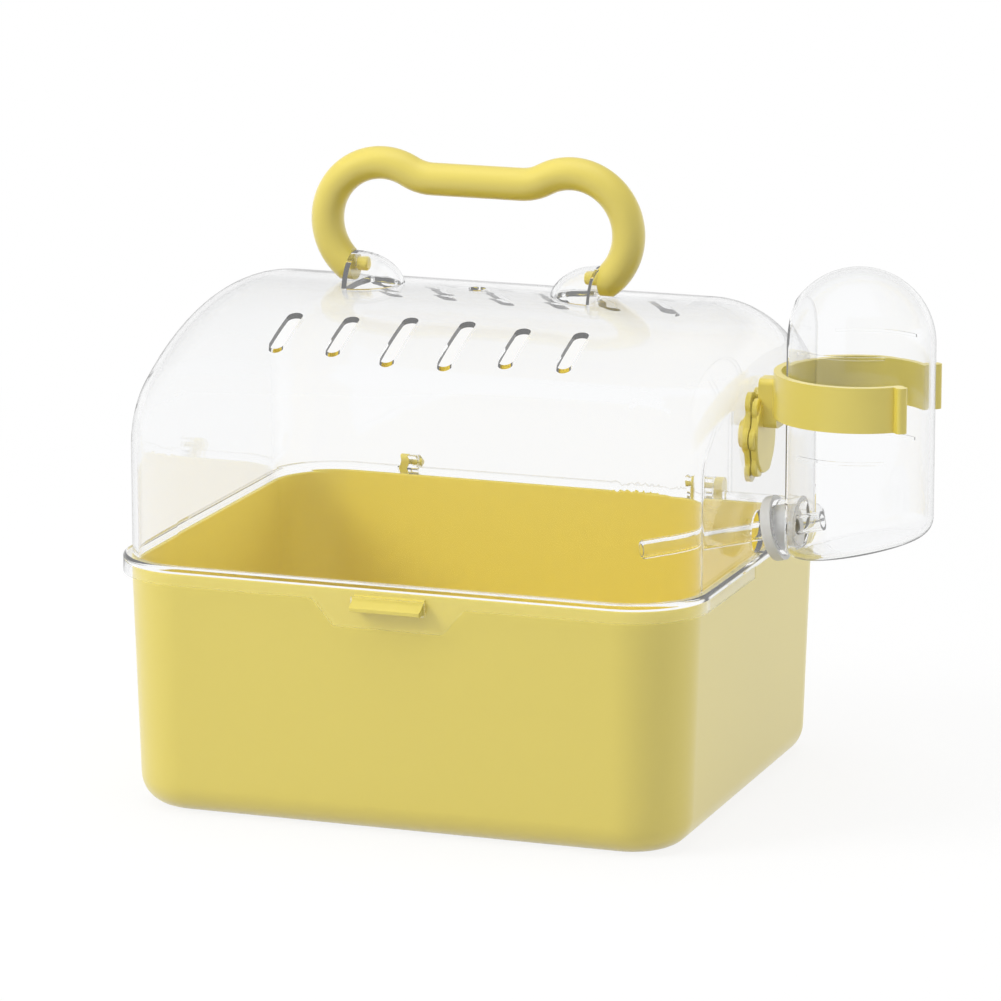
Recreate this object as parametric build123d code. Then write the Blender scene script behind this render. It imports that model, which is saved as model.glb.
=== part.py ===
from build123d import *
import os
from math import atan2, cos, degrees, radians, sin, tan

os.makedirs("parts", exist_ok=True)

# A small pet carrier: a drafted tub, a clear vaulted lid hinged at the back, a folding handle
# on two hoods, and a bottle in a split ring outside the right wall.
# Millimetres. X runs to the right, Y to the back, Z up. The origin is the centre of the base.

# Tub
tub_width = 233.2
tub_depth = 196.4
tub_height = 98.3
tub_corner_radius = 27.5
tub_draft = 1.8
tub_wall = 2.5
tub_floor = 3.0
tub_bottom_radius = 12.5
rim_round = 0.8

# Lid vault
lid_wall = 2.2
lid_seat_gap = 0.2
dome_side_reach = 0.2
dome_front_inset = 0.4
dome_rise = 55.7
dome_haunch_radius = 41.2
dome_end_radius = 28.5

# Lid flange and skirt
flange_reach = 3.4
flange_corner_radius = 31.0
flange_thickness = 2.8
flange_edge_round = 1.5
skirt_wall = 1.8
skirt_drop = 4.5
skirt_side_length = 89.0

# Catch at the front
tab_width = 28.8
tab_drop = 7.7
tab_thickness = 1.7
tab_reach = 6.8
tab_slope = 30.0
tab_round = 0.6
flap_top_width = 62.0
flap_bottom_width = 45.0
flap_drop = 10.4
flap_corner_radius = 3.5
flap_root_radius = 3.0
catch_side_gap = 0.6
catch_gap = 0.5

# Vent slots
vent_rows = 6
vent_pitch = 23.6
vent_width = 6.2
vent_top = 42.8
vent_bottom = 68.2
long_vent_top = 40.2
long_vent_bottom = 71.6
crown_hole_diameter = 7.0

# Hoods and handle
hood_outer_face = 51.6
hood_length = 21.0
hood_shoulder = 5.1
hood_wall = 1.6
hood_sink = 2.9
hood_edge_round = 0.8
handle_crown_gap = 0.5
handle_bar_diameter = 13.0
handle_rise = 35.6
handle_bar_half_length = 18.5
handle_dip_radius = 20.2
handle_ear_radius = 23.4
handle_ear_turn = 28.8
handle_hood_gap = 0.4
handle_end_round = 0.1
handle_end_overrun = 12.0
handle_pin_diameter = 4.0
handle_pin_depth = 7.0
handle_pin_head_diameter = 5.4
handle_pin_head_length = 4.2
handle_pin_bore_gap = 0.08
handle_pin_head_gap = 0.3

# Hinge
hinge_reach = 3.8
hinge_rise = 4.6
hinge_lug_radius = 3.6
tub_lug_inner_face = 66.0
tub_lug_thickness = 3.5
tub_lug_foot_drop = 15.0
lid_lug_thickness = 3.6
lug_side_gap = 0.4
lug_notch_gap = 0.5
hinge_pin_diameter = 3.2
hinge_pin_bore_gap = 0.06
hinge_pin_end = 1.0

# Bottle
bottle_lid_gap = 16.2
bottle_flat_depth = 23.9
bottle_diameter = 59.4
bottle_wall = 1.8
bottle_side_length = 85.7
bottle_floor_slope = 12.0
bottle_floor_radius = 8.0
mouth_rise = 12.3
mouth_diameter = 18.0
mouth_floor_gap = 12.1
neck_ring_wall = 2.2
neck_ring_length = 6.7
rib_drop = 12.5
rib_rise = 10.8
rib_sweep = 70.0
rib_width = 1.2
rib_relief = 0.5

# Bottle holder and nut
ring_gap = 0.25
ring_wall = 3.0
ring_rise = 10.2
ring_height = 17.7
ring_opening = 46.0
lip_length = 6.6
lip_thickness = 4.4
lip_round = 1.6
plate_rise = 34.7
plate_drop = 22.0
plate_thickness = 2.3
plate_face_round = 0.9
plate_lobe_depth = 9.4
plate_lobe_height = 11.1
neck_width = 11.0
neck_start_rise = 3.7
neck_end_rise = 23.2
neck_round = 2.5
lobe_spread = 0.6
lobe_radius = 4.4
lobe_valley_margin = 2.6
lobe_valley_round = 1.2
stud_diameter = 11.0
stud_length = 8.5
stud_hole_gap = 0.3
nut_thickness = 2.1
nut_lobe_depth = 8.4
nut_lobe_height = 13.4
nut_hub_radius = 8.0
nut_hub_thickness = 2.4
nut_round = 0.8
nut_bore_gap = 0.06
nut_wall_gap = 0.2

# Stopper and drinking tube
stopper_diameter = 25.6
stopper_thickness = 4.4
stopper_round = 1.2
plug_length = 10.7
plug_gap = 0.05
plug_end_round = 1.0
tube_diameter = 7.6
tube_bore = 5.2
tube_slope = 13.4
tube_outer_length = 57.3
tube_inner_length = 10.0
tube_tip_round = 1.1
tube_gap = 0.03
spout_hole_diameter = 17.0

# Worked out from the sizes above
quarter_turn = 90
tub_half_depth = tub_depth / 2
tab_height = tub_height - tab_drop
dome_half_width = tub_width / 2 + dome_side_reach
dome_half_depth = tub_half_depth - dome_front_inset
flange_width = tub_width + 2 * flange_reach
flange_depth = tub_depth + 2 * flange_reach
flange_half_depth = flange_depth / 2
flange_bottom = tub_height + lid_seat_gap
flange_top = flange_bottom + flange_thickness
skirt_back_end = skirt_side_length - flange_half_depth
skirt_bottom_height = flange_bottom - skirt_drop
flap_bottom_height = skirt_bottom_height - flap_drop
hinge_axis_depth = tub_half_depth + hinge_reach
hinge_axis_height = tub_height + hinge_rise
hinge_pin_radius = hinge_pin_diameter / 2
lid_lug_outer_face = tub_lug_inner_face - lug_side_gap
lid_lug_inner_face = lid_lug_outer_face - lid_lug_thickness
mouth_height = flange_top + mouth_rise
plate_height = mouth_height + plate_rise
ring_bottom_height = plate_height + ring_rise
ring_middle_height = ring_bottom_height + ring_height / 2
dome_crown_height = plate_height + plate_drop + dome_end_radius
dome_spring_height = dome_crown_height - dome_rise
handle_bar_radius = handle_bar_diameter / 2
handle_pivot_height = dome_crown_height + handle_bar_radius + handle_crown_gap
handle_bar_height = handle_pivot_height + handle_rise
handle_end_radius = handle_bar_radius + handle_end_round
handle_end_face = hood_outer_face + handle_hood_gap
handle_pin_radius = handle_pin_diameter / 2
hood_axis_height = dome_crown_height - hood_sink
hood_radius = handle_pivot_height + hood_shoulder - hood_axis_height
hood_inner_face = hood_outer_face - hood_wall
bottle_radius = bottle_diameter / 2
bottle_flat_face = dome_half_width + bottle_lid_gap
bottle_axis = bottle_flat_face + bottle_flat_depth
bottle_floor_height = mouth_height - mouth_floor_gap
bottle_shoulder_height = bottle_floor_height + bottle_side_length
rib_heights = (ring_bottom_height - rib_drop, ring_bottom_height + ring_height + rib_rise)
ring_inner_radius = bottle_radius + ring_gap
ring_outer_radius = ring_inner_radius + ring_wall
stud_radius = stud_diameter / 2
stopper_face = bottle_flat_face - neck_ring_length
tube_tip = stopper_face - tube_outer_length
tube_inner_end = bottle_flat_face + tube_inner_length


def rounded_block(width, depth, radius, bottom, top):
    """An upright block with rounded vertical corners."""
    outline = Plane.XY.offset(bottom) * RectangleRounded(width, depth, radius)
    return extrude(outline, amount=top - bottom)


def x_cylinder(radius, start, end, y, z):
    """A cylinder along X."""
    disc = Plane.YZ.offset(start) * Pos(y, z) * Circle(radius)
    return extrude(disc, amount=end - start)


def tube_line_height(x):
    """The height of the centre line of mouth, stopper and tube at a place along X."""
    return mouth_height - (bottle_flat_face - x) * tan(radians(tube_slope))


def tube_cylinder(radius, start_x, end_x):
    """A cylinder along the sloping centre line of mouth, stopper and tube."""
    slope = radians(tube_slope)
    length = (end_x - start_x) / cos(slope)
    plane = Plane(origin=(start_x, 0, tube_line_height(start_x)), z_dir=(cos(slope), 0, sin(slope)))
    return extrude(plane * Circle(radius), amount=length)


def end_circle(cylinder, end):
    """The circle at one end of a cylinder that runs along X or slopes to it, 0 left and -1 right."""
    circles = cylinder.edges().filter_by(GeomType.CIRCLE).sort_by(Axis.X)
    return circles[end]


def both_sides(shape):
    """A shape and its mirror image across the middle plane."""
    return shape + mirror(shape, about=Plane.YZ)


def edges_at(shape, axis, place, tolerance=0.01):
    """The edges whose centre lies at one place along an axis and that lie flat across it."""
    picked = []
    for edge in shape.edges():
        box = edge.bounding_box()
        low = getattr(box.min, axis)
        high = getattr(box.max, axis)
        if abs(low - place) < tolerance and abs(high - place) < tolerance:
            picked.append(edge)
    return picked


# Tub

def drafted_block(width, depth, radius, top, bottom):
    """A block that narrows downwards by the tub's draft."""
    outline = Plane.XY.offset(top) * RectangleRounded(width, depth, radius)
    return extrude(outline, amount=top - bottom, dir=(0, 0, -1), taper=tub_draft)


def catch_tab():
    """The sloped tab under which the flap of the lid snaps."""
    root = tub_half_depth - tub_wall / 2
    front = tub_half_depth + tab_reach
    rise = (front - root) * tan(radians(tab_slope))
    outline = Polyline(
        (-root, tab_height),
        (-front, tab_height),
        (-front, tab_height + tab_thickness),
        (-root, tab_height + tab_thickness + rise),
        close=True,
    )
    section = Plane.YZ.offset(-tab_width / 2) * make_face(outline)
    tab = extrude(section, amount=tab_width)
    front_edges = edges_at(tab, "Y", -front)
    return fillet(front_edges, tab_round)


def tub_lug():
    """One hinge lug on the back wall of the tub, on the right side."""
    root = tub_half_depth - tub_wall / 2
    back = hinge_axis_depth + hinge_lug_radius
    outline = Polyline(
        (root, tub_height - tub_lug_foot_drop),
        (back, tub_height),
        (back, hinge_axis_height),
        (hinge_axis_depth - hinge_lug_radius, hinge_axis_height),
        (hinge_axis_depth - hinge_lug_radius, tub_height - rim_round),
        (root, tub_height - rim_round),
        close=True,
    )
    section = Plane.YZ.offset(tub_lug_inner_face) * make_face(outline)
    lug = extrude(section, amount=tub_lug_thickness)
    outer_face = tub_lug_inner_face + tub_lug_thickness
    lug += x_cylinder(
        hinge_lug_radius, tub_lug_inner_face, outer_face, hinge_axis_depth, hinge_axis_height)
    return lug


def make_tub():
    outer = drafted_block(tub_width, tub_depth, tub_corner_radius, tub_height, 0)
    outer = fillet(edges_at(outer, "Z", 0), tub_bottom_radius)
    inner_radius = tub_corner_radius - tub_wall
    inner = drafted_block(
        tub_width - 2 * tub_wall, tub_depth - 2 * tub_wall, inner_radius, tub_height, tub_floor)
    inner = fillet(edges_at(inner, "Z", tub_floor), tub_bottom_radius - tub_floor)
    tub = outer - inner
    tub = fillet(edges_at(tub, "Z", tub_height), rim_round)
    tub += catch_tab()
    tub += both_sides(tub_lug())
    outer_face = tub_lug_inner_face + tub_lug_thickness
    bore = x_cylinder(
        hinge_pin_radius, tub_lug_inner_face - 1, outer_face + 1, hinge_axis_depth, hinge_axis_height)
    return tub - both_sides(bore)


# Lid

def vault(inset, half_width, bottom):
    """The vaulted body of the lid, drawn in by a wall thickness where inset is not zero."""
    half_depth = dome_half_depth - inset
    haunch = dome_haunch_radius - inset
    haunch_y = dome_half_depth - dome_haunch_radius
    rise = dome_crown_height - dome_spring_height
    crown = (haunch_y**2 + rise**2 - dome_haunch_radius**2) / (2 * (rise - dome_haunch_radius))
    crown_z = dome_crown_height - crown
    turn = atan2(dome_spring_height - crown_z, haunch_y)
    half_turn = turn / 2
    join_y = haunch_y + haunch * cos(turn)
    join_z = dome_spring_height + haunch * sin(turn)
    middle_y = haunch_y + haunch * cos(half_turn)
    middle_z = dome_spring_height + haunch * sin(half_turn)
    top = dome_crown_height - inset
    outline = Line((-half_depth, bottom), (-half_depth, dome_spring_height))
    outline += ThreePointArc((-half_depth, dome_spring_height), (-middle_y, middle_z), (-join_y, join_z))
    outline += ThreePointArc((-join_y, join_z), (0, top), (join_y, join_z))
    outline += ThreePointArc((join_y, join_z), (middle_y, middle_z), (half_depth, dome_spring_height))
    outline += Line((half_depth, dome_spring_height), (half_depth, bottom))
    outline += Line((half_depth, bottom), (-half_depth, bottom))
    section = Plane.YZ * make_face(outline)
    body = extrude(section, amount=half_width, both=True)
    end_edges = []
    for side in (-half_width, half_width):
        for edge in edges_at(body, "X", side):
            if edge.bounding_box().max.Z > bottom + 1:
                end_edges.append(edge)
    return fillet(end_edges, dome_end_radius - inset)


def hood(inset):
    """One hood of the right side: half a rounded dome with a flat wall towards the handle."""
    radius = hood_radius - inset
    length = hood_length - 2 * inset
    wall = hood_outer_face - inset
    axis_z = hood_axis_height
    tip = wall - length
    curve = EllipticalCenterArc(
        (wall, axis_z), length, radius, start_angle=quarter_turn, arc_size=quarter_turn)
    outline = curve + Line((tip, axis_z), (wall, axis_z)) + Line((wall, axis_z), (wall, axis_z + radius))
    section = Plane.XZ * make_face(outline)
    return revolve(section, axis=Axis((0, 0, axis_z), (1, 0, 0)), revolution_arc=360)


def flange():
    """The flange that seats on the tub, with its skirt on the front and the two sides."""
    outer = rounded_block(
        flange_width, flange_depth, flange_corner_radius, skirt_bottom_height, flange_top)
    outer = fillet(edges_at(outer, "Z", flange_top), flange_edge_round)
    hollow = rounded_block(
        flange_width - 2 * skirt_wall, flange_depth - 2 * skirt_wall,
        flange_corner_radius - skirt_wall, skirt_bottom_height, flange_bottom)
    outer -= hollow
    back_depth = flange_half_depth - skirt_back_end
    cut_height = flange_bottom - skirt_bottom_height
    back_cut = Pos(0, skirt_back_end + back_depth / 2, skirt_bottom_height + cut_height / 2) * Box(
        flange_width, back_depth, cut_height)
    return outer - back_cut


def catch_flap():
    """The flap that hangs from the front skirt and snaps under the tab."""
    strip_half = flap_top_width / 2 + 2 * flap_root_radius
    strip_top = flange_bottom
    outline = Polyline(
        (-strip_half, strip_top),
        (-strip_half, skirt_bottom_height),
        (-flap_top_width / 2, skirt_bottom_height),
        (-flap_bottom_width / 2, flap_bottom_height),
        (flap_bottom_width / 2, flap_bottom_height),
        (flap_top_width / 2, skirt_bottom_height),
        (strip_half, skirt_bottom_height),
        (strip_half, strip_top),
        close=True,
    )
    face = make_face(outline)
    bottom_corners = face.vertices().group_by(Axis.Y)[0]
    face = fillet(bottom_corners, flap_corner_radius)
    roots = [
        vertex for vertex in face.vertices()
        if abs(abs(vertex.X) - flap_top_width / 2) < 0.01 and abs(vertex.Y - skirt_bottom_height) < 0.01
    ]
    face = fillet(roots, flap_root_radius)
    plane = Plane(origin=(0, -flange_half_depth, 0), x_dir=(1, 0, 0), z_dir=(0, -1, 0))
    return extrude(plane * face, amount=-skirt_wall)


def catch_slot():
    """The slot in the flap and skirt through which the tab stands."""
    bottom = tab_height - catch_gap
    inner_face = flange_half_depth - skirt_wall
    ramp_start = tub_half_depth + tab_reach
    ramp = (ramp_start - inner_face) * tan(radians(tab_slope))
    top = tab_height + tab_thickness + ramp + catch_gap
    width = tab_width + 2 * catch_side_gap
    return Pos(0, -flange_half_depth, (bottom + top) / 2) * Box(width, 4 * skirt_wall, top - bottom)


def vent_slot(top, bottom):
    """One round-ended slot, cut down through the slope of the vault."""
    length = bottom - top
    outline = Rot(0, 0, 90) * SlotOverall(length, vent_width)
    plane = Plane.XY.offset(dome_spring_height)
    return extrude(plane * Pos(0, -(top + bottom) / 2) * outline, amount=dome_crown_height)


def vents():
    """The vent slots on the front and back slopes, the middle ones longer."""
    cutters = []
    for index in range(vent_rows):
        place = (index - (vent_rows - 1) / 2) * vent_pitch
        if abs(place) < vent_pitch:
            cutter = vent_slot(long_vent_top, long_vent_bottom)
        else:
            cutter = vent_slot(vent_top, vent_bottom)
        cutter = Pos(place, 0, 0) * cutter
        cutters.append(cutter)
        cutters.append(mirror(cutter, about=Plane.XZ))
    return cutters


def lid_lug():
    """One hinge lug on the back of the flange, on the right side."""
    front = dome_half_depth - lid_wall / 2
    outline = Polyline(
        (front, flange_bottom),
        (flange_half_depth, flange_bottom),
        (hinge_axis_depth + hinge_lug_radius, hinge_axis_height),
        (hinge_axis_depth, hinge_axis_height + hinge_lug_radius),
        (front, hinge_axis_height + hinge_lug_radius),
        close=True,
    )
    section = Plane.YZ.offset(lid_lug_inner_face) * make_face(outline)
    lug = extrude(section, amount=lid_lug_thickness)
    lug += x_cylinder(
        hinge_lug_radius, lid_lug_inner_face, lid_lug_outer_face, hinge_axis_depth, hinge_axis_height)
    return lug


def lug_notch():
    """The gap in the flange round one lug of the tub."""
    width = tub_lug_thickness + 2 * lug_notch_gap
    depth = 2 * (flange_half_depth - dome_half_depth)
    centre_x = tub_lug_inner_face + tub_lug_thickness / 2
    height = 2 * flange_thickness
    return Pos(centre_x, dome_half_depth + depth / 2, flange_bottom + flange_thickness / 2) * Box(
        width, depth, height)


def make_lid():
    lid = vault(0, dome_half_width, flange_bottom)
    lid += both_sides(hood(0))
    lid += flange()
    lid += catch_flap()
    lid += both_sides(lid_lug())
    lid -= vault(lid_wall, dome_half_width - lid_wall, flange_bottom - 1)
    lid -= both_sides(hood(hood_wall))
    for cutter in vents():
        lid -= cutter
    lid -= catch_slot()
    lid -= both_sides(lug_notch())
    lid -= Pos(0, 0, dome_crown_height) * Cylinder(crown_hole_diameter / 2, 4 * lid_wall)
    pin_bore = x_cylinder(
        handle_pin_radius + handle_pin_bore_gap, hood_inner_face - hood_wall, hood_outer_face + hood_wall,
        0, handle_pivot_height)
    lid -= both_sides(pin_bore)
    hinge_bore = x_cylinder(
        hinge_pin_radius + hinge_pin_bore_gap, lid_lug_inner_face - 1, lid_lug_outer_face + 1,
        hinge_axis_depth, hinge_axis_height)
    lid -= both_sides(hinge_bore)
    wall_start = dome_half_width - 2 * lid_wall
    wall_end = dome_half_width + lid_wall
    lid -= x_cylinder(stud_radius + stud_hole_gap, wall_start, wall_end, 0, plate_height)
    spout_height = tube_line_height(dome_half_width - lid_wall / 2)
    lid -= x_cylinder(spout_hole_diameter / 2, wall_start, wall_end, 0, spout_height)
    return lid


# Handle

def handle_path():
    """The centre line of the right half of the handle, from the middle of the bar to the pin."""
    turn = radians(handle_ear_turn)
    dip_centre_x = handle_bar_half_length
    dip_centre_z = handle_bar_height + handle_dip_radius
    join_x = dip_centre_x + handle_dip_radius * sin(turn)
    join_z = dip_centre_z - handle_dip_radius * cos(turn)
    ear_centre_x = join_x + handle_ear_radius * sin(turn)
    ear_centre_z = join_z - handle_ear_radius * cos(turn)
    bar = Line((0, handle_bar_height), (dip_centre_x, handle_bar_height))
    dip = CenterArc((dip_centre_x, dip_centre_z), handle_dip_radius, -90, handle_ear_turn)
    past_end = degrees(atan2(handle_pivot_height - ear_centre_z, handle_end_face - ear_centre_x)) % 360
    ear_start = quarter_turn + handle_ear_turn
    ear_sweep = ear_start + 360 - past_end + handle_end_overrun
    ear = CenterArc((ear_centre_x, ear_centre_z), handle_ear_radius, ear_start, -ear_sweep)
    return Plane.XZ * (bar + dip + ear)


def handle_end_trim():
    """What is cut from the end of the bar: all inside the hood wall, all below the pivot's round."""
    reach = 4 * handle_bar_radius
    inside = Pos(handle_end_face - reach / 2, 0, handle_pivot_height) * Box(reach, reach, reach)
    below = Pos(handle_end_face + reach / 2, 0, handle_pivot_height - reach / 2) * Box(
        reach, reach, reach)
    end_round = x_cylinder(
        handle_end_radius, handle_end_face - 1, handle_end_face + reach + 1, 0, handle_pivot_height)
    return inside + (below - end_round)


def make_handle():
    path = handle_path()
    start = Plane(origin=(0, 0, handle_bar_height), z_dir=(1, 0, 0))
    half = sweep(start * Circle(handle_bar_radius), path=path)
    half -= handle_end_trim()
    bore = x_cylinder(
        handle_pin_radius, handle_end_face - 1, handle_end_face + handle_pin_depth,
        0, handle_pivot_height)
    half -= bore
    return both_sides(half)


def make_handle_pin():
    """One headed pin of the right side, pressed into the handle from inside the hood."""
    head_end = hood_inner_face - handle_pin_head_gap
    shank = x_cylinder(
        handle_pin_radius, head_end - 1, handle_end_face + handle_pin_depth, 0, handle_pivot_height)
    head = x_cylinder(
        handle_pin_head_diameter / 2, head_end - handle_pin_head_length, head_end, 0, handle_pivot_height)
    head = fillet(edges_at(head, "X", head_end - handle_pin_head_length), hood_edge_round)
    return shank + head


# Hinge pins

def make_hinge_pin():
    """One hinge pin of the right side."""
    outer_face = tub_lug_inner_face + tub_lug_thickness
    return x_cylinder(
        hinge_pin_radius, lid_lug_inner_face - hinge_pin_end, outer_face,
        hinge_axis_depth, hinge_axis_height)


# Bottle

def bottle_body(inset):
    """The bottle's outer form, drawn in by its wall where inset is not zero."""
    radius = bottle_radius - inset
    height = bottle_shoulder_height
    low = bottle_floor_height - bottle_radius
    side = Line((0, low), (radius, low)) + Line((radius, low), (radius, height))
    crown = CenterArc((0, height), radius, 0, 90)
    back = Line((0, height + radius), (0, low))
    section = Plane.XZ * make_face(side + crown + back)
    body = Pos(bottle_axis, 0, 0) * revolve(section, axis=Axis.Z, revolution_arc=360)
    floor_normal = (-sin(radians(bottle_floor_slope)), 0, cos(radians(bottle_floor_slope)))
    floor = Plane(origin=(bottle_flat_face, 0, bottle_floor_height), z_dir=floor_normal).offset(inset)
    body = split(body, bisect_by=floor, keep=Keep.TOP)
    floor_edges = body.edges().sort_by(lambda edge: edge.center().Z)[:1]
    body = fillet(floor_edges, bottle_floor_radius - inset)
    flat = bottle_flat_face + inset
    cut_size = 4 * bottle_radius
    cut_height = 2 * (bottle_shoulder_height + bottle_radius)
    return body - Pos(flat - cut_size / 2, 0, 0) * Box(cut_size, cut_size, cut_height)


def bottle_rib(height, middle_angle):
    """One raised line round part of the bottle."""
    ring = Cylinder(bottle_radius + rib_relief, rib_width)
    ring -= Cylinder(bottle_radius - bottle_wall / 2, rib_width)
    reach = 2 * bottle_radius
    start = radians(middle_angle - rib_sweep / 2)
    end = radians(middle_angle + rib_sweep / 2)
    wedge = Polyline(
        (0, 0),
        (reach * cos(start), reach * sin(start)),
        (reach * cos(end), reach * sin(end)),
        close=True,
    )
    sector = extrude(make_face(wedge), amount=rib_width, both=True)
    return Pos(bottle_axis, 0, height) * (ring & sector)


def make_bottle():
    bottle = bottle_body(0)
    ring_radius = mouth_diameter / 2 + neck_ring_wall
    ring_end = bottle_flat_face + 2 * bottle_wall
    bottle += tube_cylinder(ring_radius, stopper_face, ring_end)
    for height in rib_heights:
        for middle_angle in (-quarter_turn, quarter_turn):
            bottle += bottle_rib(height, middle_angle)
    bottle -= bottle_body(bottle_wall)
    mouth = tube_cylinder(mouth_diameter / 2, stopper_face - mouth_diameter, ring_end + 2 * bottle_wall)
    return bottle - mouth


# Bottle holder and nut

def ring_lip(side):
    """The turned-out end of one arm of the ring."""
    lip = Box(lip_length, lip_thickness, ring_height)
    lip = fillet(lip.edges().filter_by(Axis.Z), lip_round)
    middle = ring_inner_radius + lip_length / 2
    turned = Rot(0, 0, side * ring_opening) * Pos(middle, 0, 0) * lip
    return Pos(bottle_axis, 0, ring_middle_height) * turned


def lobed_disc(start, end, lobe_depth, lobe_height):
    """A disc with six lobes facing along X, taller than it is deep."""
    spread = lobe_depth * lobe_spread
    centres = [
        (lobe_depth, 0),
        (spread, lobe_height),
        (-spread, lobe_height),
        (-lobe_depth, 0),
        (-spread, -lobe_height),
        (spread, -lobe_height),
    ]
    outline = offset(make_face(Polyline(centres, close=True)), lobe_valley_margin, kind=Kind.INTERSECTION)
    for place in centres:
        outline += Pos(place) * Circle(lobe_radius)
    outline = fillet(outline.vertices(), lobe_valley_round)
    return extrude(Plane.YZ.offset(start) * Pos(0, plate_height) * outline, amount=end - start)


def make_holder():
    ring = Cylinder(ring_outer_radius, ring_height) - Cylinder(ring_inner_radius, ring_height)
    reach = 2 * ring_outer_radius
    half_gap = reach * tan(radians(ring_opening))
    wedge = make_face(Polyline((0, 0), (reach, -half_gap), (reach, half_gap), close=True))
    ring -= extrude(wedge, amount=ring_height, both=True)
    holder = Pos(bottle_axis, 0, ring_middle_height) * ring
    holder += ring_lip(1)
    holder += ring_lip(-1)
    plate_end = dome_half_width + plate_thickness
    plate = lobed_disc(dome_half_width, plate_end, plate_lobe_depth, plate_lobe_height)
    holder += fillet(edges_at(plate, "X", plate_end), plate_face_round)
    neck_end = bottle_axis - ring_inner_radius - ring_wall / 2
    neck_start = dome_half_width + plate_thickness / 2
    neck_box = Box(neck_end - neck_start, neck_width, neck_end_rise - neck_start_rise)
    neck_box = fillet(neck_box.edges().filter_by(Axis.X), neck_round)
    neck_middle = plate_height + (neck_end_rise + neck_start_rise) / 2
    holder += Pos((neck_start + neck_end) / 2, 0, neck_middle) * neck_box
    stud_start = dome_half_width - stud_length
    holder += x_cylinder(stud_radius, stud_start, neck_start, 0, plate_height)
    return holder


def make_nut():
    face_x = dome_half_width - lid_wall - nut_wall_gap
    inner_face = face_x - nut_thickness
    hub = x_cylinder(nut_hub_radius, inner_face - nut_hub_thickness, inner_face + 1, 0, plate_height)
    hub = fillet(edges_at(hub, "X", inner_face - nut_hub_thickness), nut_round)
    body = lobed_disc(inner_face, face_x, nut_lobe_depth, nut_lobe_height) + hub
    return body - x_cylinder(
        stud_radius + nut_bore_gap, inner_face - 2 * nut_hub_thickness, face_x + 1, 0, plate_height)


# Stopper and tube

def make_stopper():
    disc_start = stopper_face - stopper_thickness
    disc = tube_cylinder(stopper_diameter / 2, disc_start, stopper_face)
    disc = fillet(end_circle(disc, 0), stopper_round)
    plug_end = stopper_face + plug_length
    plug = tube_cylinder(mouth_diameter / 2 - plug_gap, stopper_face - stopper_thickness / 2, plug_end)
    plug = fillet(end_circle(plug, -1), plug_end_round)
    hole = tube_cylinder(
        tube_diameter / 2 + tube_gap, disc_start - tube_diameter, plug_end + tube_diameter)
    return disc + plug - hole


def make_tube():
    outside = tube_cylinder(tube_diameter / 2, tube_tip, tube_inner_end)
    outside = fillet(end_circle(outside, 0), tube_tip_round)
    bore = tube_cylinder(tube_bore / 2, tube_tip - tube_bore, tube_inner_end + tube_bore)
    return outside - bore


# The pieces

def write_piece(name, shape):
    export_step(shape, f"parts/{name}.step")


write_piece("tub", make_tub())
write_piece("lid_shell", make_lid())
write_piece("handle", make_handle())
right_handle_pin = make_handle_pin()
write_piece("handle_pin_right", right_handle_pin)
write_piece("handle_pin_left", mirror(right_handle_pin, about=Plane.YZ))
right_hinge_pin = make_hinge_pin()
write_piece("hinge_pin_right", right_hinge_pin)
write_piece("hinge_pin_left", mirror(right_hinge_pin, about=Plane.YZ))
write_piece("bottle_holder", make_holder())
write_piece("holder_nut", make_nut())
write_piece("bottle", make_bottle())
write_piece("bottle_stopper", make_stopper())
write_piece("drinking_tube", make_tube())
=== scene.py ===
"""A small pet carrier: how its plastics look, and the plain studio that it stands in."""

from math import cos, pi, radians, sin

import bmesh
import bpy
from mathutils import Matrix, Vector


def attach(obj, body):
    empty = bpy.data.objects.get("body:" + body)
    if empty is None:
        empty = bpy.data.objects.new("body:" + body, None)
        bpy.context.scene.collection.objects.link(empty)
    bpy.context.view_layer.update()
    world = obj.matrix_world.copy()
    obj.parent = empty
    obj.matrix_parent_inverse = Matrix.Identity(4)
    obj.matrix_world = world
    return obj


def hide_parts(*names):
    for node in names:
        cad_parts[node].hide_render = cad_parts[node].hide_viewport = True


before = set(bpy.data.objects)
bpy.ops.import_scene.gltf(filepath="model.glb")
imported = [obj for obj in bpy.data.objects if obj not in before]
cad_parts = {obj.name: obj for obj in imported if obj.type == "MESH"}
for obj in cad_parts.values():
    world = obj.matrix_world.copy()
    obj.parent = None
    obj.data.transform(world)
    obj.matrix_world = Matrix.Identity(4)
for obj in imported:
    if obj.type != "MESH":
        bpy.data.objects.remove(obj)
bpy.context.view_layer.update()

# The photograph's view: the camera's place round the carrier, in degrees and metres, and its lens
VIEW_AZIMUTH = 19.674
VIEW_ELEVATION = 12.803
VIEW_DISTANCE = 2.33839
VIEW_AIM_HEIGHT = 0.1
VIEW_OFFSET_RIGHT = 0.0092526
VIEW_OFFSET_UP = 0.0127066
FOCAL_PIXELS = 5876.37
PICTURE_SIDE = 1001
SENSOR_WIDTH = 36.0
VIEW_REACH = 100.0

# Plastic colours, linear
YELLOW = (0.81, 0.665, 0.1)
YELLOW_DEEP = (0.79, 0.645, 0.092)
SILICONE = (0.74, 0.735, 0.72)
SILICONE_PALE = (0.8, 0.795, 0.78)
CLEAR = (0.985, 0.988, 0.99)

# Painted shade: the grey that clear plastic's colour turns where it is seen aslant, from facing the eye at
# 0 to edge on at 1
CLEAR_ASLANT_PAINTED_SHADE = (0.84, 0.84, 0.845)
ASLANT_START = 0.45
ASLANT_END = 0.95

# Painted glow: the grey light that clear plastic gives off once a ray has been mirrored inside it so many
# times
PAINTED_INNER_GLOW = (0.055, 0.055, 0.055)
INNER_START = 1.0
INNER_END = 3.0

# How strongly the plastics bend light
PLASTIC_IOR = 1.49
CLEAR_IOR = 1.33

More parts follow.
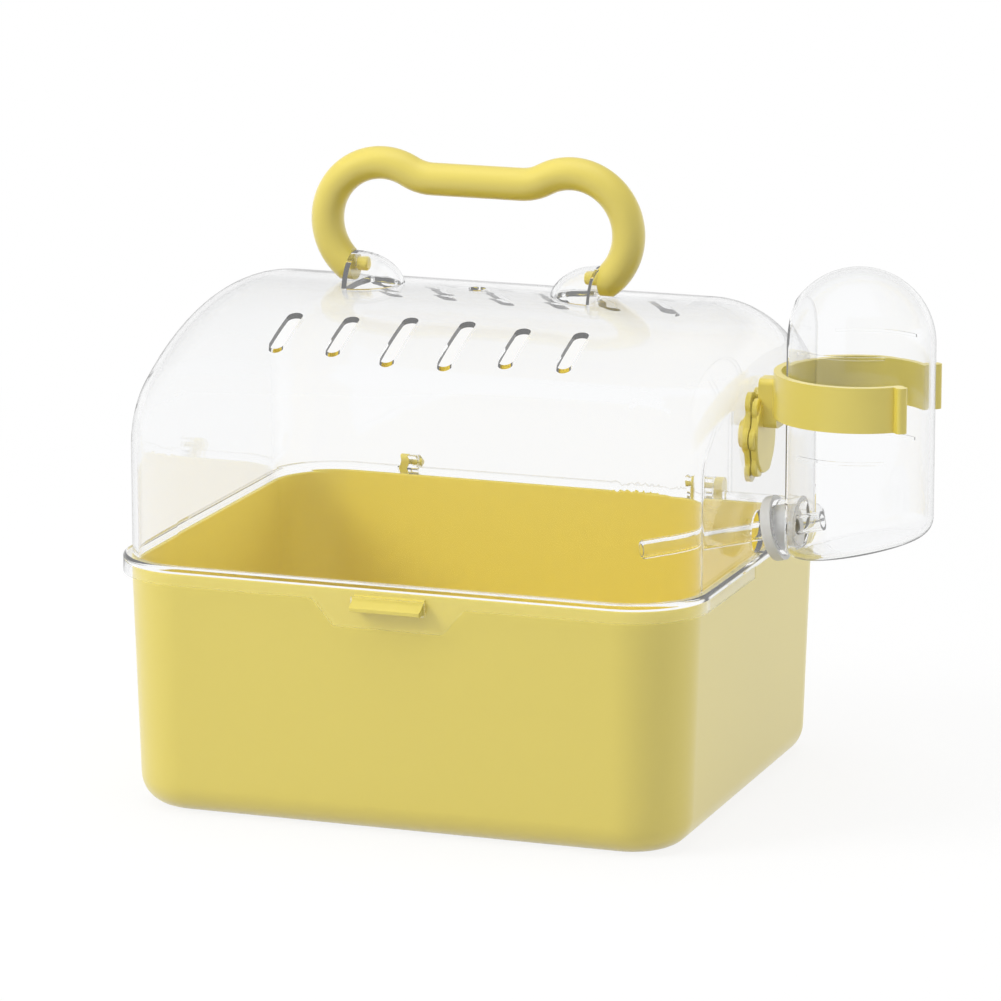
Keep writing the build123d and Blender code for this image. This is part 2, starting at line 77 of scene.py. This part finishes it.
# The least and the greatest roughness of the matt plastics, and the yellow's soft sheen
YELLOW_ROUGHNESS = (0.38, 0.48)
SILICONE_ROUGHNESS = (0.5, 0.62)
SHEEN_WEIGHT = 0.9
SHEEN_ROUGHNESS = 0.3

# Blotches to the metre, and how deep the finest ones lie, in metres
YELLOW_DRIFT = 9.0
YELLOW_GRAIN = 2600.0
SILICONE_DRIFT = 60.0
SILICONE_GRAIN = 3000.0
GRAIN_DEPTH = 0.00001
CLEAR_FLOW = 22.0
FLOW_DEPTH = 0.00004

# The floor's side in metres, what it sends back, and its white in the shadow
FLOOR_SIZE = 30.0
FLOOR_BOUNCE = 0.62
FLOOR_WHITE = 0.95

# How much of the shadow shows, out to one distance from the middle and fading until another, in metres
SHADOW_SHARE = 0.14
SHADOW_NEAR = 0.3
SHADOW_FAR = 0.8

# How bright the floor is where clear plastic mirrors it
MIRRORED_FLOOR = 0.7

# How bright the sky is where it is mirrored, behind the carrier and above, and where it fades to that
SKY_BEHIND = 0.55
SKY_TURN = 0.5
SKY_FADE_START = 0.14
SKY_FADE_END = 0.28

# The even light from all round
WORLD_LIGHT = 0.42

# Lamps: where each hangs, how wide and high it is, in metres, and its watts
LAMP_AIM = (0.0, 0.0, 0.1)
LAMPS = {
    "key": ((-2.4, -2.0, 2.1), (1.6, 1.6), 68.0),
    "top": ((-0.2, -0.1, 2.6), (2.0, 2.0), 31.0),
    "side": ((2.3, 1.5, 0.5), (1.4, 0.8), 16.0),
}

# The line of the stopper and its tube: a place on it in metres, and how it slopes in degrees
TUBE_LINE = (0.133, 0.0, 0.1136)
TUBE_SLOPE = 13.4

# The stopper's disc and plug, along that line and away from it, in metres
STOPPER_START = -0.0114
DISC_DEPTH = 0.0044
DISC_RADIUS = 0.0128
DISC_ROUND = 0.0012
PLUG_DEPTH = 0.0064
PLUG_RADIUS = 0.00895
PLUG_ROUND = 0.001
STOPPER_BORE = 0.00383

# The smooth oval on the outer face of the bottle holder's plate, in metres
OVAL_PLACE = (0.1187, 0.0, 0.1483)
OVAL_DEPTH = 0.0012
OVAL_HALF_WIDTH = 0.0122
OVAL_STRETCH = 1.21
OVAL_ROUND = 0.0005

# Steps round a turned piece, and in each of its rounds
TURN_STEPS = 128
ROUND_STEPS = 6

# Edges sharper than this stay crisp, in degrees
CRISP_ANGLE = 32.0

# Corners of two faces that are nearer than this are one, in metres
MERGE_DISTANCE = 0.000002

# Blender's own name for how strongly a face leads its corners, and its highest value, which flat faces get
FACE_STRENGTH = "__mod_weightednormals_faceweight"
FLAT_FACE_STRENGTH = 16384


class Value:
    """A number that changes over a surface, written in sums like any other number."""

    def __init__(self, finish, socket):
        self.finish = finish
        self.socket = socket

    def output(self, name):
        """Another output of the node that this value comes from."""
        return Value(self.finish, self.socket.node.outputs[name])

    def most(self, other):
        """The larger of two values."""
        return self.combine("MAXIMUM", self, other)

    def combine(self, operation, first, second):
        return self.finish.node("Math", {"operation": operation}, [first, second])

    def __add__(self, other):
        return self.combine("ADD", self, other)

    __radd__ = __add__

    def __mul__(self, other):
        return self.combine("MULTIPLY", self, other)

    __rmul__ = __mul__


class Finish:
    """The node tree of one material or of the world."""

    def __init__(self, owner):
        owner.use_nodes = True
        self.tree = owner.node_tree
        self.tree.nodes.clear()

    def node(self, kind, settings=None, sockets=None, output=0):
        """Adds a node with its settings, then its sockets' values or links, and gives back one output."""
        made = self.tree.nodes.new("ShaderNode" + kind)
        for name, value in (settings or {}).items():
            setattr(made, name, value)
        pairs = enumerate(sockets) if isinstance(sockets, list) else (sockets or {}).items()
        for name, value in pairs:
            self.put(made.inputs[name], value)
        return Value(self, made.outputs[output]) if made.outputs else made

    def put(self, socket, value):
        """Links a socket, or sets it to a plain number or colour."""
        if isinstance(value, Value):
            self.tree.links.new(value.socket, socket)
        elif isinstance(value, tuple) and len(value) == 3 and socket.type == "RGBA":
            socket.default_value = (*value, 1.0)
        else:
            socket.default_value = value

    def place(self):
        """The place on the object, in metres."""
        return self.node("TexCoord", output="Object")

    def noise(self, scale, detail=2.0, roughness=0.5):
        """A soft random pattern from 0 to 1, with so many blotches to the metre."""
        sockets = {"Vector": self.place(), "Scale": scale, "Detail": detail, "Roughness": roughness}
        return self.node("TexNoise", {}, sockets)

    def blend(self, share, first, second):
        """A colour between two others."""
        sockets = {"Factor": share, 6: first, 7: second}
        return self.node("Mix", {"data_type": "RGBA"}, sockets, output=2)

    def between(self, share, limits):
        """A value between two limits."""
        low, high = limits
        return low + share * (high - low)

    def bump(self, height, depth):
        """A relief, so many metres deep."""
        return self.node("Bump", {}, {"Height": height, "Distance": depth, "Strength": 1.0})

    def ramp(self, value, start, end, first, last):
        """Runs from first to last while value runs from start to end."""
        return self.node("MapRange", {}, {
            "Value": value, "From Min": start, "From Max": end, "To Min": first, "To Max": last})

    def seen(self):
        """1 for what the camera sees, straight on, mirrored or through something clear."""
        camera = self.node("LightPath", output="Is Camera Ray")
        return camera.most(camera.output("Is Glossy Ray")).most(camera.output("Is Transmission Ray"))

    def show(self, shader, kind="OutputMaterial"):
        """Makes a shader the one that is seen."""
        self.node(kind, {}, {"Surface": shader})


def new_finish(name):
    material = bpy.data.materials.new(name)
    return material, Finish(material)


def moulded_yellow():
    """Satin yellow plastic with a fine moulded grain."""
    material, finish = new_finish("moulded_yellow")
    drift = finish.noise(YELLOW_DRIFT, detail=1.0)
    grain = finish.noise(YELLOW_GRAIN, detail=3.0, roughness=0.6)
    shader = finish.node("BsdfPrincipled", {}, {
        "Base Color": finish.blend(drift, YELLOW, YELLOW_DEEP),
        "Roughness": finish.between(grain, YELLOW_ROUGHNESS),
        "Normal": finish.bump(grain, GRAIN_DEPTH),
        "IOR": PLASTIC_IOR,
        "Specular IOR Level": 1.0,
        "Coat Weight": SHEEN_WEIGHT,
        "Coat Roughness": SHEEN_ROUGHNESS,
    })
    finish.show(shader)
    return material


def clear_plastic(name):
    """Clear polished plastic, with painted shade that makes it a little greyer where it is seen aslant,
    and a faint painted glow inside it. Lamps shine through it.
    """
    material, finish = new_finish(name)
    flow = finish.noise(CLEAR_FLOW, detail=1.0)
    # Painted shade: the plastic's colour turns grey where it is seen aslant
    facing = finish.node("LayerWeight", {}, {"Blend": 0.5}, output="Facing")
    aslant = finish.ramp(facing, ASLANT_START, ASLANT_END, 0.0, 1.0)
    # Painted glow: the plastic gives off grey light once a ray has been mirrored inside it a few times
    times_mirrored = finish.node("LightPath", output="Glossy Depth")
    painted_glow_share = finish.ramp(times_mirrored, INNER_START, INNER_END, 0.0, 1.0)
    glass = finish.node("BsdfPrincipled", {}, {
        "Base Color": finish.blend(aslant, CLEAR, CLEAR_ASLANT_PAINTED_SHADE),
        "Roughness": 0.0,
        "Normal": finish.bump(flow, FLOW_DEPTH),
        "IOR": CLEAR_IOR,
        "Transmission Weight": 1.0,
        "Emission Color": finish.blend(painted_glow_share, (0.0, 0.0, 0.0), PAINTED_INNER_GLOW),
        "Emission Strength": 1.0,
    })
    lamp_ray = finish.node("LightPath", output="Is Shadow Ray")
    open_way = finish.node("BsdfTransparent", {}, {"Color": CLEAR})
    finish.show(finish.node("MixShader", {}, [lamp_ray, glass, open_way]))
    return material


def silicone():
    """Matt light grey silicone."""
    material, finish = new_finish("grey_silicone_rubber")
    drift = finish.noise(SILICONE_DRIFT)
    grain = finish.noise(SILICONE_GRAIN, detail=3.0)
    shader = finish.node("BsdfPrincipled", {}, {
        "Base Color": finish.blend(drift, SILICONE, SILICONE_PALE),
        "Roughness": finish.between(grain, SILICONE_ROUGHNESS),
        "Normal": finish.bump(grain, GRAIN_DEPTH),
    })
    finish.show(shader)
    return material


def dress(piece, material):
    """Gives one piece its finish."""
    piece.data.materials.clear()
    piece.data.materials.append(material)
    return piece


def gentle_shading():
    """Joins a piece's faces where they meet, and marks its edges as crisp only where they really are."""
    group = bpy.data.node_groups.new("gentle_shading", "GeometryNodeTree")
    group.interface.new_socket("Geometry", in_out="INPUT", socket_type="NodeSocketGeometry")
    group.interface.new_socket("Geometry", in_out="OUTPUT", socket_type="NodeSocketGeometry")
    start = group.nodes.new("NodeGroupInput")
    joined = group.nodes.new("GeometryNodeMergeByDistance")
    joined.inputs["Distance"].default_value = MERGE_DISTANCE
    curved = group.nodes.new("GeometryNodeInputShadeSmooth")
    strength = group.nodes.new("ShaderNodeMath")
    strength.operation = "MULTIPLY_ADD"
    strength.inputs[1].default_value = -FLAT_FACE_STRENGTH
    strength.inputs[2].default_value = FLAT_FACE_STRENGTH
    kept = group.nodes.new("GeometryNodeStoreNamedAttribute")
    kept.data_type = "INT"
    kept.domain = "FACE"
    kept.inputs["Name"].default_value = FACE_STRENGTH
    angle = group.nodes.new("GeometryNodeInputMeshEdgeAngle")
    crisp = group.nodes.new("FunctionNodeCompare")
    crisp.data_type = "FLOAT"
    crisp.operation = "GREATER_THAN"
    crisp.inputs[1].default_value = radians(CRISP_ANGLE)
    shaded = group.nodes.new("GeometryNodeSetMeshNormal")
    shaded.mode = "SHARPNESS"
    shaded.inputs["Remove Custom"].default_value = True
    end = group.nodes.new("NodeGroupOutput")
    group.links.new(start.outputs[0], joined.inputs[0])
    group.links.new(joined.outputs[0], kept.inputs["Geometry"])
    group.links.new(curved.outputs[0], strength.inputs[0])
    group.links.new(strength.outputs[0], kept.inputs["Value"])
    group.links.new(kept.outputs[0], shaded.inputs[0])
    group.links.new(angle.outputs["Unsigned Angle"], crisp.inputs[0])
    group.links.new(crisp.outputs[0], shaded.inputs["Edge Sharpness"])
    group.links.new(shaded.outputs[0], end.inputs[0])
    return group


def smooth(piece, group):
    """Shades one piece by the group, with its flat faces leading where they run into a curve."""
    piece.modifiers.new("gentle_shading", "NODES").node_group = group
    weights = piece.modifiers.new("face_weights", "WEIGHTED_NORMAL")
    weights.mode = "CORNER_ANGLE"
    weights.use_face_influence = True
    weights.keep_sharp = True


def quarter_round(along, radius, size, start):
    """Points of a quarter circle round a middle, starting behind it at 0 degrees and outside it at 90."""
    points = []
    for step in range(ROUND_STEPS + 1):
        turn = radians(start + 90 * step / ROUND_STEPS)
        points.append((along - size * cos(turn), radius + size * sin(turn)))
    return points


def turned(name, profile, place, slope=0.0, stretch=1.0, hollow=False):
    """A piece turned about a line that slopes up from X, from points along the line and away from it."""
    mesh = bpy.data.meshes.new(name)
    built = bmesh.new()
    rings = []
    for along, radius in profile:
        ring = []
        for step in range(TURN_STEPS):
            turn = 2 * pi * step / TURN_STEPS
            ring.append(built.verts.new((along, radius * cos(turn), radius * stretch * sin(turn))))
        rings.append(ring)
    pairs = list(zip(rings, rings[1:]))
    if hollow:
        pairs.append((rings[-1], rings[0]))
    else:
        built.faces.new(rings[0])
        built.faces.new(rings[-1])
    for first, second in pairs:
        flat = abs(first[0].co.x - second[0].co.x) < MERGE_DISTANCE
        for step in range(TURN_STEPS):
            corners = (first[step - 1], first[step], second[step], second[step - 1])
            built.faces.new(corners).smooth = not flat
    bmesh.ops.recalc_face_normals(built, faces=built.faces)
    built.to_mesh(mesh)
    built.free()
    piece = bpy.data.objects.new(name, mesh)
    bpy.context.scene.collection.objects.link(piece)
    piece.matrix_world = Matrix.Translation(place) @ Matrix.Rotation(radians(-slope), 4, "Y")
    return piece


def make_stopper():
    """The bottle's stopper: a disc and a short plug, bored for the tube."""
    disc_end = STOPPER_START + DISC_DEPTH
    plug_end = disc_end + PLUG_DEPTH
    profile = [(STOPPER_START, STOPPER_BORE)]
    profile += quarter_round(STOPPER_START + DISC_ROUND, DISC_RADIUS - DISC_ROUND, DISC_ROUND, 0)
    profile += [(disc_end, DISC_RADIUS), (disc_end, PLUG_RADIUS)]
    profile += quarter_round(plug_end - PLUG_ROUND, PLUG_RADIUS - PLUG_ROUND, PLUG_ROUND, 90)
    profile.append((plug_end, STOPPER_BORE))
    stopper = turned("stopper_with_short_plug", profile, TUBE_LINE, TUBE_SLOPE, hollow=True)
    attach(stopper, "lid")
    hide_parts("bottle_stopper")
    return stopper


def make_oval():
    """The smooth oval face that stands a little out of the holder's scalloped plate."""
    profile = [(0.0, OVAL_HALF_WIDTH)]
    profile += quarter_round(OVAL_DEPTH - OVAL_ROUND, OVAL_HALF_WIDTH - OVAL_ROUND, OVAL_ROUND, 90)
    oval = turned("holder_oval_face", profile, OVAL_PLACE, stretch=OVAL_STRETCH)
    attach(oval, "lid")
    return oval


def make_floor():
    """A white floor that keeps a faint shadow of the carrier and sends some light back up."""
    side = FLOOR_SIZE / 2
    mesh = bpy.data.meshes.new("floor")
    corners = [(-side, -side, 0), (side, -side, 0), (side, side, 0), (-side, side, 0)]
    mesh.from_pydata(corners, [], [(0, 1, 2, 3)])
    floor = bpy.data.objects.new("floor", mesh)
    bpy.context.scene.collection.objects.link(floor)
    material, finish = new_finish("pale_floor")
    bounce = finish.node("BsdfDiffuse", {}, {"Color": (FLOOR_BOUNCE, FLOOR_BOUNCE, FLOOR_BOUNCE)})
    white = finish.node("BsdfDiffuse", {}, {"Color": (FLOOR_WHITE, FLOOR_WHITE, FLOOR_WHITE)})
    glow = finish.node("Emission", {}, {"Color": (1.0, 1.0, 1.0), "Strength": 1.0})
    distance = finish.node("VectorMath", {"operation": "LENGTH"}, [finish.place()], output="Value")
    share = finish.ramp(distance, SHADOW_NEAR, SHADOW_FAR, SHADOW_SHARE, 0.0)
    look = finish.node("MixShader", {}, [share, glow, white])
    reflected = finish.node("LightPath", output="Is Reflection Ray")
    dimmed = reflected * reflected.output("Is Singular Ray") * (1.0 - MIRRORED_FLOOR)
    nothing = finish.node("Emission", {}, {"Strength": 0.0})
    look = finish.node("MixShader", {}, [dimmed, look, nothing])
    finish.show(finish.node("MixShader", {}, [finish.seen(), bounce, look]))
    mesh.materials.append(material)


def make_world():
    """Even light from all round, and a white sky, dimmer behind and above where it is mirrored."""
    world = bpy.data.worlds.new("studio")
    bpy.context.scene.world = world
    finish = Finish(world)
    dim = finish.node("Background", {}, {"Color": (1.0, 1.0, 1.0), "Strength": WORLD_LIGHT})
    direction = finish.node("SeparateXYZ", {}, [finish.node("TexCoord", output="Generated")])
    upper = finish.ramp(direction.output("Z"), SKY_FADE_START, SKY_FADE_END, 0.0, 1.0)
    behind = finish.ramp(direction.output("Y"), -SKY_TURN, SKY_TURN, 0.0, 1.0)
    mirrored = finish.node("LightPath", output="Is Reflection Ray")
    dimmed = (SKY_BEHIND, SKY_BEHIND, SKY_BEHIND)
    colour = finish.blend(upper * behind * mirrored, (1.0, 1.0, 1.0), dimmed)
    sky = finish.node("Background", {}, {"Color": colour})
    finish.show(finish.node("MixShader", {}, [finish.seen(), dim, sky]), "OutputWorld")


def soft_lamp(name, place, size, power):
    """A flat lamp that nothing mirrors, turned towards the carrier."""
    lamp = bpy.data.lights.new(name, "AREA")
    lamp.shape = "RECTANGLE"
    lamp.size, lamp.size_y = size
    lamp.energy = power
    holder = bpy.data.objects.new(name, lamp)
    bpy.context.scene.collection.objects.link(holder)
    holder.visible_glossy = False
    holder.visible_transmission = False
    holder.location = place
    holder.rotation_euler = (Vector(LAMP_AIM) - Vector(place)).to_track_quat("-Z", "Y").to_euler()


def make_camera():
    """The camera, where the photograph was taken from."""
    azimuth = radians(VIEW_AZIMUTH)
    elevation = radians(VIEW_ELEVATION)
    back = Vector((sin(azimuth) * cos(elevation), -cos(azimuth) * cos(elevation), sin(elevation)))
    right = Vector((cos(azimuth), sin(azimuth), 0))
    up = back.cross(right)
    centre = Vector((0, 0, VIEW_AIM_HEIGHT)) + right * VIEW_OFFSET_RIGHT + up * VIEW_OFFSET_UP
    lens = bpy.data.cameras.new("camera")
    lens.sensor_width = SENSOR_WIDTH
    lens.lens = FOCAL_PIXELS / PICTURE_SIDE * SENSOR_WIDTH
    lens.clip_end = VIEW_REACH
    camera = bpy.data.objects.new("camera", lens)
    bpy.context.scene.collection.objects.link(camera)
    turn = Matrix((right, up, back)).transposed().to_4x4()
    camera.matrix_world = Matrix.Translation(centre + back * VIEW_DISTANCE) @ turn
    bpy.context.scene.camera = camera


yellow = moulded_yellow()
bottle_plastic = clear_plastic("clear_bottle_plastic")
shading = gentle_shading()
finishes = {
    "tub": yellow,
    "handle": yellow,
    "handle_pin_left": yellow,
    "handle_pin_right": yellow,
    "hinge_pin_left": yellow,
    "hinge_pin_right": yellow,
    "bottle_holder": yellow,
    "holder_nut": yellow,
    "lid_shell": clear_plastic("clear_lid_plastic"),
    "bottle": bottle_plastic,
    "drinking_tube": bottle_plastic,
}
for name, material in finishes.items():
    smooth(dress(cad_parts[name], material), shading)
smooth(dress(make_stopper(), silicone()), shading)
smooth(dress(make_oval(), yellow), shading)
make_floor()
make_world()
for name, (place, size, power) in LAMPS.items():
    soft_lamp(name, place, size, power)
make_camera()
bpy.context.scene.view_settings.view_transform = "Standard"
